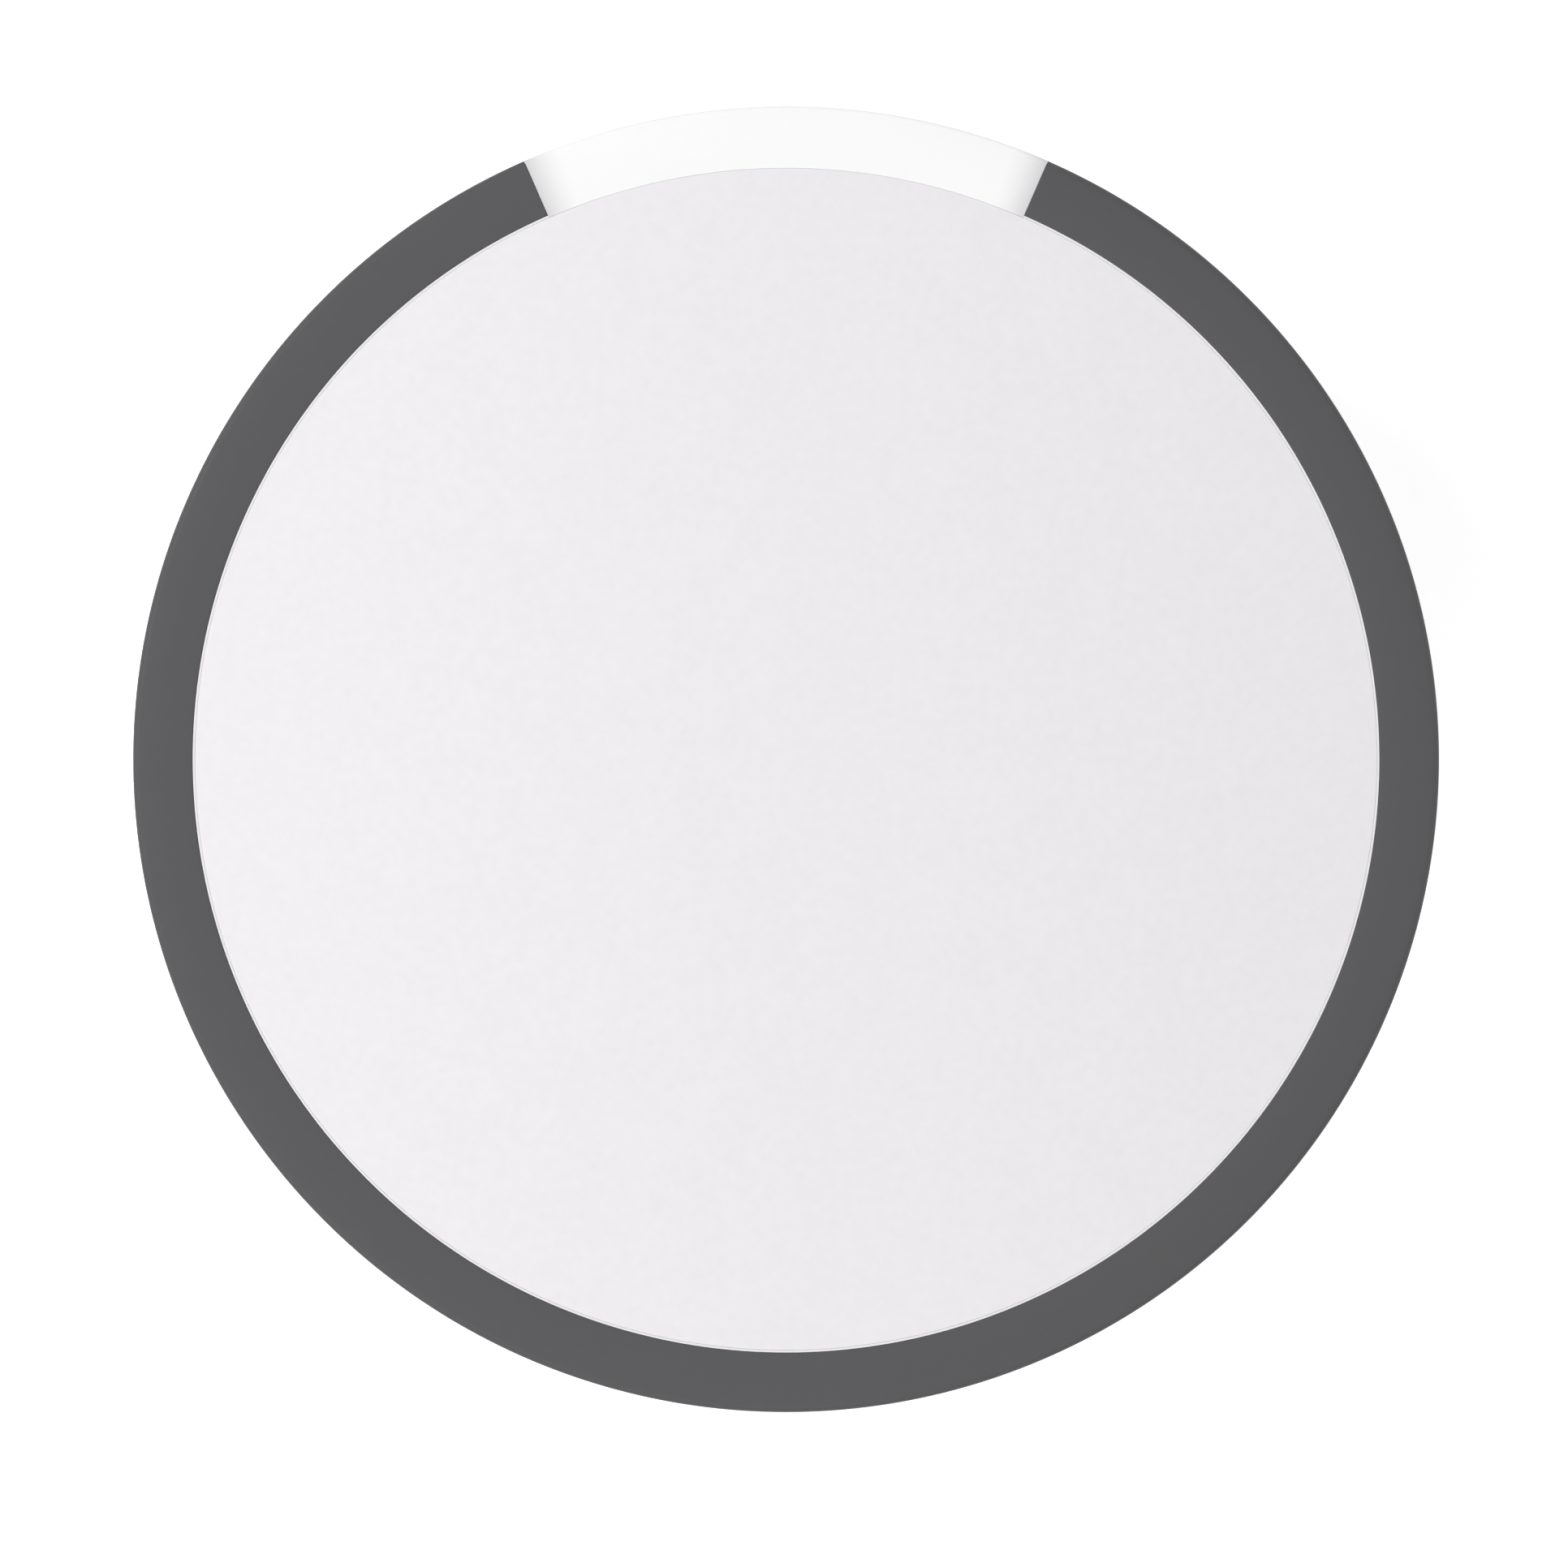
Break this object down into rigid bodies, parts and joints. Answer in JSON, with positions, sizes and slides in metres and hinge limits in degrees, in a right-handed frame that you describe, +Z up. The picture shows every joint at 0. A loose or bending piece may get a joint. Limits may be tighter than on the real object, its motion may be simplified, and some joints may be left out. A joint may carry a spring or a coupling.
{
  "type": "wall thermostat",
  "caption": "Round wall thermostat with a turning ring round a flat face that presses in, an internal ring gear and encoder, cells, and a pull-off wall plate.",
  "frame": {"origin": "centre of the wall plate's back face, on the wall", "axes": "+Z up, -Y out of the wall towards the person, +X to the right as it is seen on the wall"},
  "size_m": [0.086, 0.027, 0.086],
  "materials": {
    "face_white": "fine-grained off-white",
    "shell_white": "fine-grained off-white",
    "grip_grey": "matt dark grey",
    "opal": "opal white, lit from behind",
    "clear": "clear",
    "inner_black": "matt black",
    "board": "solder-masked board",
    "display": "polished, dark",
    "acetal": "natural acetal",
    "steel": "bright",
    "cell": "printed sleeve over a metal can",
    "relay_case": "moulded case",
    "terminal": "moulded"
  },
  "bodies": {
    "wall_side": {"wall_plate": "shell_white", "terminal_block": "terminal", "terminal_screw_1": "steel", "terminal_screw_2": "steel", "terminal_screw_3": "steel", "terminal_screw_4": "steel"},
    "unit": {"rear_housing": "shell_white", "mid_frame": "inner_black", "light_guide": "clear", "glide_ring": "acetal", "housing_screw_1": "steel", "housing_screw_2": "steel", "housing_screw_3": "steel", "housing_screw_4": "steel", "face_spring_1": "steel", "face_spring_2": "steel", "face_spring_3": "steel", "main_board": "board", "board_screw_1": "steel", "board_screw_2": "steel", "board_screw_3": "steel", "display_module": "display", "display_bezel": "inner_black", "switch_body": "inner_black", "encoder_body": "inner_black", "radio_module": "steel", "relay": "relay_case", "pin_header": "inner_black", "sensor_board": "board", "battery_lower": "cell", "battery_upper": "cell", "contact_plus": "steel", "contact_minus": "steel", "contact_bridge": "steel"},
    "dial": {"dial_carrier": "opal", "grip_ring": "grip_grey"},
    "pinion": {"encoder_pinion": "acetal"},
    "face": {"front_cover": "face_white"},
    "plunger": {"switch_plunger": "acetal"}
  },
  "joints": [
    {"name": "unit_pull_off", "type": "slide", "parent": "wall_side", "child": "unit", "axis": [0, -1, 0], "range_m": [0, 0.04]},
    {"name": "dial_turn", "type": "hinge", "parent": "unit", "child": "dial", "pos_m": [0, 0, 0], "axis": [0, -1, 0], "range_deg": [-135, 135]},
    {"name": "pinion_spin", "type": "hinge", "parent": "unit", "child": "pinion", "pos_m": [-0.033, 0, 0], "axis": [0, -1, 0], "range_deg": [-945, 945]},
    {"name": "face_press", "type": "slide", "parent": "unit", "child": "face", "axis": [0, 1, 0], "range_m": [0, 0.0004], "stiffness_N_per_m": 2500, "springref_m": -0.0004, "deforming": ["face_spring_1", "face_spring_2", "face_spring_3"]},
    {"name": "plunger_press", "type": "slide", "parent": "unit", "child": "plunger", "axis": [0, 1, 0], "range_m": [0, 0.0004]}
  ],
  "couplings": [
    {"joint": "pinion_spin", "follows": "dial_turn", "ratio": 7},
    {"joint": "plunger_press", "follows": "face_press", "ratio": 1}
  ]
}
